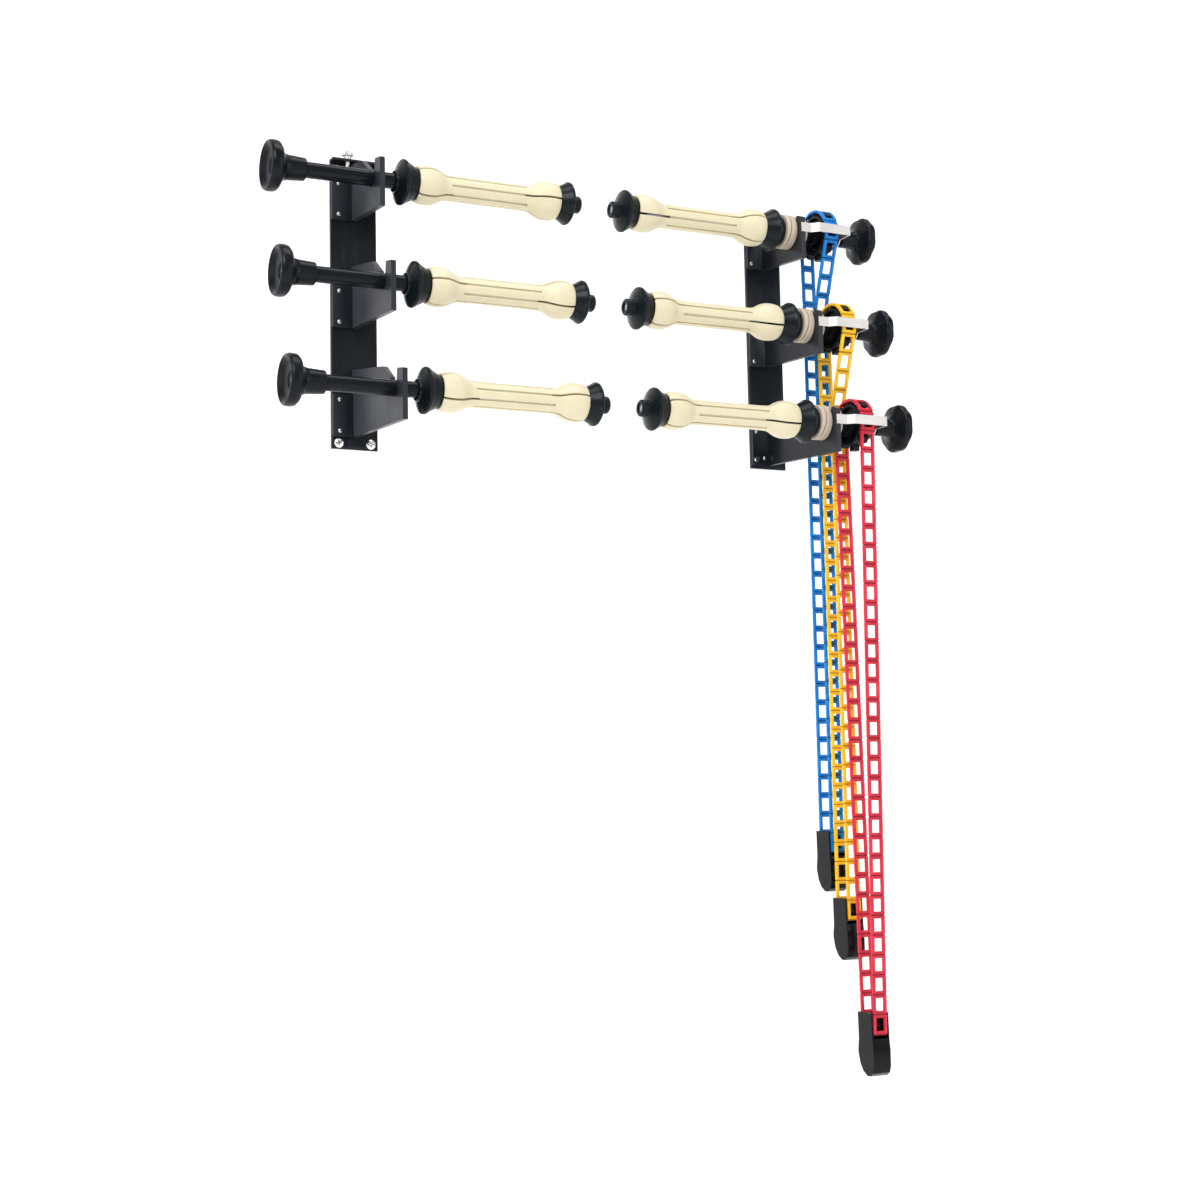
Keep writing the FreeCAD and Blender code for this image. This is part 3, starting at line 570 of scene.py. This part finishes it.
def sleeve_mesh(name):
    """Thick split sleeve: four slits from the near end and, half a step round, four from the far end."""
    outside, inside = both_ends(SLEEVE_OUTSIDE), both_ends(SLEEVE_INSIDE)
    first, last = SLEEVE_ENDS
    stations = sorted({x for x, _ in outside + inside} | {NEAR_STOP, FAR_START}
                      | {first + GROOVE_FROM + STATION_STEP * i for i in range(STATION_COUNT)})
    stations = [x for i, x in enumerate(stations) if i == 0 or x - stations[i - 1] > STATION_GAP]
    vertices = []
    for profile in (outside, inside):
        for x in stations:
            r = radius_at(profile, x)
            for angle in slit_columns(r):
                vertices.append((x * MM, r * math.cos(angle) * MM, r * math.sin(angle) * MM))
    faces = sleeve_faces(stations)
    for slit in range(SECTORS):
        start, stop = (first + GROOVE_FROM, NEAR_STOP) if slit % 2 == 0 else (FAR_START, last - GROOVE_FROM)
        join(vertices, faces, *groove_floor(slit * 2 * math.pi / SECTORS, start, stop + 0.3))
    return mesh_from(name, vertices, faces)


def soften(piece, width, segments=2, angle=35):
    """Round the hard edges of a finished piece."""
    bevel = piece.modifiers.new("edge", "BEVEL")
    bevel.width = width * MM
    bevel.segments = segments
    bevel.limit_method = "ANGLE"
    bevel.angle_limit = math.radians(angle)
    bevel.use_clamp_overlap = True


for row in ROWS:
    for side in SIDES:
        sleeve = sleeve_mesh(f"{side}_expander_{row}")
        roll = Matrix.Rotation(math.radians(SLEEVE_ROLL[side][row]), 4, "X")
        sleeve.transform(bar_matrix(side, row) @ roll)
        smooth(sleeve, 40)
        piece = new_piece(f"{side}_expander_{row}", sleeve, "cream", f"{side}_bar_{row}",
                          [f"{side}_sleeve_{row}"])
        soften(piece, 0.35, 2, 50)


# ---------------------------------------------------------------- plates, arms and other flat parts

def clean_copy(node, name):
    """The CAD node's own shape as one welded mesh with flat faces joined up."""
    mesh = frame["nodes"][node].data.copy()
    mesh.name = name
    work = bmesh.new()
    work.from_mesh(mesh)
    bmesh.ops.remove_doubles(work, verts=work.verts, dist=WELD)
    bmesh.ops.dissolve_limit(work, angle_limit=math.radians(0.6), verts=work.verts, edges=work.edges)
    work.to_mesh(mesh)
    work.free()
    if "custom_normal" in mesh.attributes:
        mesh.attributes.remove(mesh.attributes["custom_normal"])
    return mesh


def refined(node, name, material, body, width, segments=2, sharp=30):
    """The CAD shape with softened edges."""
    mesh = clean_copy(node, name)
    smooth(mesh, sharp)
    piece = new_piece(name, mesh, material, body, [node])
    soften(piece, width, segments)


ROOT = "wall_brackets"
for side in SIDES:
    refined(f"{side}_wall_plate", f"{side}_back_plate", "coat", ROOT, 0.5)
for row in ROWS:
    for side in SIDES:
        refined(f"{side}_arm_{row}", f"{side}_cradle_arm_{row}", "coat", ROOT, 0.5)
    refined(f"drive_chain_guide_{row}", f"chain_strap_{row}", "guide", ROOT, 0.25)
    refined(f"drive_sprocket_{row}", f"chain_wheel_{row}", "wheel", f"drive_bar_{row}",
            0.5)
    refined(f"chain_weight_{row}", f"pull_weight_{row}", "weight", f"hanging_chain_{row}",
            1.9, 4, 42)


# ---------------------------------------------------------------- bushes

BUSH_LEFT = 17.5  # the bush's reach from the arm's middle towards the sleeve


def bush_outline():
    return rounded([(-BUSH_LEFT, 9.06), (-BUSH_LEFT, 20.2), (-16.6, 21, 0.8), (-13.9, 21, 0.5),
                    (-13.2, 20.2, 0.2), (-13.2, 13.5, 0.2), (-11.9, 13.5, 0.2), (-11.9, 20.2, 0.2),
                    (-11.2, 21, 0.5), (-4.2, 21, 0.6), (-3.1, 19.6, 0.3), (-3.1, 13.0), (3.1, 13.0),
                    (3.1, 19.6, 0.3), (4.2, 21, 0.6), (10.6, 21, 0.8), (11.5, 20.2), (11.5, 9.06)], 0.3, 3)


def leaning_groove(angle, x, r):
    """The groove between the two discs leans, so each disc is a slight wedge."""
    groove, reach, lean = -12.4, 3.6, 2.2
    near = max(0.0, 1.0 - abs(x - groove) / reach)
    return x + lean * math.sin(angle - 0.5) * min(1.0, 2 * near) * min(1.0, r / 20.0), r


for row in ROWS:
    low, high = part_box(f"drive_bush_{row}")
    mesh = lathe_mesh(f"bearing_bush_{row}", bush_outline(), shape=leaning_groove)
    mesh.transform(Matrix.Translation((low.x + BUSH_LEFT * MM, (low.y + high.y) / 2, (low.z + high.z) / 2)))
    smooth(mesh)
    new_piece(f"bearing_bush_{row}", mesh, "tan", ROOT, [f"drive_bush_{row}"])


# ---------------------------------------------------------------- chains

LINK_WIDE, LINK_THICK, LINK_HOLE_WIDE, LINK_HOLE_LONG = 18.5, 3.5, 11.5, 15.0
LINK_PITCH, HINGE_RADIUS, HINGE_STEPS = 23.0, 1.2, 14
WHEEL_REACH = 29.0  # links whose middle is nearer the wheel's axis than this lie on the wheel
WHEEL_BULGE = 2.1
# painted shade on the cross bars, which sit set back from the rails
RUNG_SHADE = 0.3


def add_box(work, size, centre, width, segments=2):
    """Add a box in mm with rounded edges to a bmesh."""
    made = bmesh.ops.create_cube(work, size=1.0)["verts"]
    bmesh.ops.scale(work, vec=Vector(size) * MM, verts=made)
    bmesh.ops.translate(work, vec=Vector(centre) * MM, verts=made)
    edges = list(dict.fromkeys(e for v in made for e in v.link_edges))  # a set's order would vary
    bmesh.ops.bevel(work, geom=edges, offset=width * MM, segments=segments, affect="EDGES", profile=0.6)


def link_shape(length, bulge):
    """One moulded ladder link along Z: two rails and two cross bars, bowed by bulge.

    Gives its points, faces and each point's shade."""
    work = bmesh.new()
    rail = (LINK_WIDE - LINK_HOLE_WIDE) / 2
    bar = (length - LINK_HOLE_LONG) / 2
    for side in (-1, 1):
        add_box(work, (rail, LINK_THICK, length), (side * (LINK_WIDE - rail) / 2, 0, 0), 0.55)
    rails = set(work.verts)
    for side in (-1, 1):
        add_box(work, (LINK_HOLE_WIDE + 1.2, LINK_THICK - 0.5, bar), (0, 0, side * (length - bar) / 2), 0.6)
    rungs = set(work.verts) - rails
    if bulge:
        reach = LINK_PITCH / 2 * MM
        cuts = [e for e in work.edges if abs(e.verts[0].co.z - e.verts[1].co.z) > LINK_HOLE_LONG * MM]
        bmesh.ops.subdivide_edges(work, edges=cuts, cuts=7, use_grid_fill=True)
        for v in work.verts:
            v.co.y += bulge * MM * (1 - (v.co.z / reach) ** 2)
    work.verts.index_update()
    points = [v.co.copy() for v in work.verts]
    polygons = [[v.index for v in f.verts] for f in work.faces]
    shades = [RUNG_SHADE if v in rungs else 0.0 for v in work.verts]
    work.free()
    return points, polygons, shades


def hinge_shape():
    """The round barrel between two links, across the chain.  Points, faces and shades."""
    half = LINK_WIDE / 2 - 0.3
    ends = [(-half, 0.75), (-half + 0.5, 1.0), (half - 0.5, 1.0), (half, 0.75)]
    points = [Vector((x, r * HINGE_RADIUS * math.cos(a), r * HINGE_RADIUS * math.sin(a))) * MM
              for x, r in ends for a in (2 * math.pi * k / HINGE_STEPS for k in range(HINGE_STEPS))]
    polygons = [(j * HINGE_STEPS + k, j * HINGE_STEPS + (k + 1) % HINGE_STEPS,
                 (j + 1) * HINGE_STEPS + (k + 1) % HINGE_STEPS, (j + 1) * HINGE_STEPS + k)
                for j in range(len(ends) - 1) for k in range(HINGE_STEPS)]
    last = (len(ends) - 1) * HINGE_STEPS
    polygons += [tuple(range(HINGE_STEPS)), tuple(last + k for k in range(HINGE_STEPS))]
    return points, polygons, [1.0] * len(points)


def link_place(island):
    """Centre, direction and length of a link from its corners; its length lies in the YZ plane."""
    middle = sum(island, Vector()) / len(island)
    yy = sum((p.y - middle.y) ** 2 for p in island)
    zz = sum((p.z - middle.z) ** 2 for p in island)
    yz = sum((p.y - middle.y) * (p.z - middle.z) for p in island)
    angle = 0.5 * math.atan2(2 * yz, yy - zz)
    along = Vector((0, math.cos(angle), math.sin(angle)))
    reach = [(p - middle).dot(along) for p in island]
    return middle, along, max(reach) - min(reach)


def add_shape(made, shape, matrix):
    """Append a shape, moved by matrix, to the points, faces and shades made so far."""
    points, polygons, shades = shape
    join(made[0], made[1], [matrix @ p for p in points], polygons)
    made[2].extend(shades)


def chain_mesh(row, wheel):
    """One chain: a link where the CAD has one, bowed where it lies on the wheel, and barrels between."""
    made, hinges = ([], [], []), []
    for island in islands_of(f"chain_{row}"):
        middle, along, length = link_place(island)
        across = along.cross(Vector((1, 0, 0)))
        turn = Matrix((Vector((1, 0, 0)), across, along)).transposed().to_4x4()
        outward = middle - wheel
        outward.x = 0.0
        on_wheel = outward.length < WHEEL_REACH * MM
        bulge = math.copysign(WHEEL_BULGE, outward.dot(across)) if on_wheel else 0.0
        add_shape(made, link_shape(length / MM, bulge), Matrix.Translation(middle) @ turn)
        for end in (-1, 1):
            hinge = middle + along * (end * LINK_PITCH / 2 * MM)
            if all((hinge - other).length > MM for other in hinges):
                hinges.append(hinge)
                add_shape(made, hinge_shape(), Matrix.Translation(hinge))
    mesh = mesh_from(f"ladder_chain_{row}", made[0], made[1])
    mesh.attributes.new(SHADE_LAYER, "FLOAT", "POINT").data.foreach_set("value", made[2])
    smooth(mesh, 40)
    return mesh


for row in ROWS:
    wheel = centre_of(f"drive_sprocket_{row}")
    colour = CHAIN_COLOURS[row]
    chain = new_piece(f"ladder_chain_{row}", chain_mesh(row, wheel), colour, None, [f"chain_{row}"])
    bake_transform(chain)


# ---------------------------------------------------------------- screws and rivets

def crossed_dome(radius, height, cross, steps=48, rings=18):
    """Domed head facing -Y with a cross recess: its arm's reach and half width in mm, or None."""
    vertices, faces = [], []
    for j in range(rings + 1):
        r = radius * j / rings
        for k in range(steps):
            a = 2 * math.pi * k / steps
            x, z = r * math.cos(a), r * math.sin(a)
            rise = height * math.sqrt(max(0.0, 1 - (r / radius) ** 2)) ** 0.8
            if cross:
                reach, half = cross
                near = min(abs(x), abs(z))
                far = max(abs(x), abs(z))
                if near < half and far < reach:
                    rise -= min(1.1, height * 0.6) * (1 - (far / reach) ** 3)
            vertices.append((x * MM, -rise * MM, z * MM))
    for j in range(rings):
        for k in range(steps):
            n = (k + 1) % steps
            a, b = j * steps, (j + 1) * steps
            faces.append((a + k, a + n, b + n, b + k))
    base = len(vertices)
    vertices.append((0, 0.2 * MM, 0))
    rim = rings * steps
    for k in range(steps):
        faces.append((rim + k, rim + (k + 1) % steps, base))
    return vertices, faces


def threaded_shank(at, radius, length):
    """Points and faces of a pointed shank that runs along Y from a head's middle."""
    steps, turns, thread_depth = 20, int(length * 1.6), 0.55
    points = []
    for j in range(turns + 1):
        y = at.y + length * j / turns * MM
        taper = min(1.0, (turns - j) / 4 + 0.2)
        r = (radius - (thread_depth if j % 2 else 0.0)) * taper
        for k in range(steps):
            a = 2 * math.pi * k / steps
            points.append((at.x + r * math.cos(a) * MM, y, at.z + r * math.sin(a) * MM))
    polygons = [(j * steps + k, j * steps + (k + 1) % steps,
                 (j + 1) * steps + (k + 1) % steps, (j + 1) * steps + k)
                for j in range(turns) for k in range(steps)]
    return points, polygons + [[turns * steps + k for k in range(steps)]]


def head_group(node, name, material, radius, height, cross=None, shank=None):
    """One head for every fastener in the CAD group, with a threaded shank behind where it has one."""
    vertices, faces = [], []
    for island in islands_of(node):
        low = Vector([min(p[i] for p in island) for i in range(3)])
        high = Vector([max(p[i] for p in island) for i in range(3)])
        middle = (low + high) / 2
        at = Vector((middle.x, low.y + height * MM, middle.z))
        head, polygons = crossed_dome(radius, height, cross)
        join(vertices, faces, [Vector(p) + at for p in head], polygons)
        if shank:
            join(vertices, faces, *threaded_shank(at, *shank))
    mesh = mesh_from(name, vertices, faces, weld=1e-7)
    smooth(mesh, 38)
    new_piece(name, mesh, material, ROOT, [node])


head_group("idle_wall_screws", "wall_screw_set", "chrome", 6.0, 3.2,
           cross=(3.7, 0.85), shank=(2.4, 31.6))
for side in SIDES:
    head_group(f"{side}_arm_rivets", f"{side}_rivet_set", "rivet", 2.4, 1.4)


def knurl(angle, x, r):
    """Fine ribs round the lock screw's head."""
    head_from, depth = 5.6, 0.45
    if r < head_from:
        return x, r
    return x, r - depth * (0.5 + 0.5 * math.cos(28 * angle))


def lock_screw():
    """Knurled thumb screw standing on the idle plate's lip."""
    outline = rounded([(-9, 0.6, 0), (-9, 5.4), (-8, 6.5, 0.5), (-4.6, 6.5, 0.5), (-4, 5.9, 0.3),
                       (-4, 4.5, 0.2),
                       (0, 4.5, 0.4), (0, 2.7, 0.2), (8.6, 2.7), (9, 2.3), (9, 0.6, 0)], 0.4, 3)
    mesh = lathe_mesh("thumb_screw", outline, steps=168, shape=knurl)
    mesh.transform(Matrix.Rotation(math.pi / 2, 4, "Y"))
    mesh.transform(Matrix.Translation(centre_of("idle_lock_screw")))
    smooth(mesh, 30)
    new_piece("thumb_screw", mesh, "nickel", ROOT, ["idle_lock_screw"])


lock_screw()

for row in ROWS:
    for side in SIDES:
        spindle = frame["nodes"][f"{side}_spindle_{row}"]
        spindle.data.materials.clear()
        spindle.data.materials.append(MATERIALS["spindle"])


# ---------------------------------------------------------------- stage, light and camera

def stage_material(name, value):
    """Matt paper with a faint unevenness, lit a little from within so that it stays pale."""
    n = Nodes(name)
    n.colour(n.mix(n.noise(1.5, 3, 0.5), (value, value, value), (value * 0.985, value * 0.985, value * 0.99)))
    n.set(Roughness=0.9, Specular_IOR_Level=0.0, Emission_Color=(1.0, 1.0, 1.0, 1.0), Emission_Strength=0.34)
    return n.mat


FLOOR = -1.35
SWEEP_FROM, SWEEP_RADIUS, SWEEP_STEPS = 1.2, 1.6, 12
SWEEP_FRONT, SWEEP_TOP, SWEEP_HALF = -9.0, 6.5, 9.0


def sweep():
    """Pale floor that curves up into the backdrop, well behind the wall plane."""
    outline = [(SWEEP_FRONT, FLOOR), (SWEEP_FROM, FLOOR)]
    for k in range(1, SWEEP_STEPS + 1):
        a = math.pi / 2 * k / SWEEP_STEPS
        outline.append((SWEEP_FROM + SWEEP_RADIUS * math.sin(a), FLOOR + SWEEP_RADIUS * (1 - math.cos(a))))
    outline.append((SWEEP_FROM + SWEEP_RADIUS, SWEEP_TOP))
    vertices = [(x, y, z) for x in (-SWEEP_HALF, SWEEP_HALF) for y, z in outline]
    count = len(outline)
    faces = [(i, i + 1, count + i + 1, count + i) for i in range(count - 1)]
    mesh = bpy.data.meshes.new("studio_sweep")
    mesh.from_pydata(vertices, [], faces)
    mesh.update()
    smooth(mesh, 60)
    floor = bpy.data.objects.new("studio_sweep", mesh)
    mesh.materials.append(stage_material("studio_paper", 0.93))
    bpy.context.scene.collection.objects.link(floor)


LIT_POINT = (-0.2, -0.1, -0.1)
LIGHTS = (  # name, place, width and height, power
    ("key", (-1.9, -2.3, 1.7), (1.6, 1.6), 62),
    ("fill", (1.9, -2.6, 0.3), (2.0, 2.0), 20),
    ("top", (-0.2, -0.6, 2.6), (2.4, 1.2), 34),
    ("side", (-2.6, -0.6, -0.1), (0.7, 2.0), 8),
)


def soft_light(name, location, size, power):
    """A large lamp that faces the brackets."""
    data = bpy.data.lights.new(name, "AREA")
    data.shape = "RECTANGLE"
    data.size, data.size_y = size
    data.energy = power
    lamp = bpy.data.objects.new(name, data)
    lamp.location = location
    lamp.rotation_mode = "QUATERNION"
    lamp.rotation_quaternion = (Vector(LIT_POINT) - Vector(location)).to_track_quat("-Z", "Y")
    bpy.context.scene.collection.objects.link(lamp)


def world():
    """Even white surroundings, shown without a film curve."""
    sky = bpy.data.worlds.new("studio")
    sky.use_nodes = True
    back = sky.node_tree.nodes["Background"]
    back.inputs["Color"].default_value = (1.0, 1.0, 1.0, 1.0)
    back.inputs["Strength"].default_value = 0.45
    bpy.context.scene.world = sky
    bpy.context.scene.view_settings.view_transform = "Standard"


def camera():
    """From the left of and below the brackets, looking up a little."""
    place = (-1.2908, -2.1167, -0.5776)
    yaw, pitch, roll, focal = 0.4612, 0.1068, -0.0202, 59.5
    forward = Vector((math.sin(yaw) * math.cos(pitch), math.cos(yaw) * math.cos(pitch), math.sin(pitch)))
    right = Vector((math.cos(yaw), -math.sin(yaw), 0))
    up = right.cross(forward)
    across = right * math.cos(roll) + up * math.sin(roll)
    above = -right * math.sin(roll) + up * math.cos(roll)
    data = bpy.data.cameras.new("camera")
    data.lens = focal
    data.sensor_width = 36.0
    data.clip_end = 100
    eye = bpy.data.objects.new("camera", data)
    turn = Matrix((across, above, -forward)).transposed()
    eye.matrix_world = Matrix.Translation(place) @ turn.to_4x4()
    bpy.context.scene.collection.objects.link(eye)
    bpy.context.scene.camera = eye


sweep()
world()
for light in LIGHTS:
    soft_light(*light)
camera()
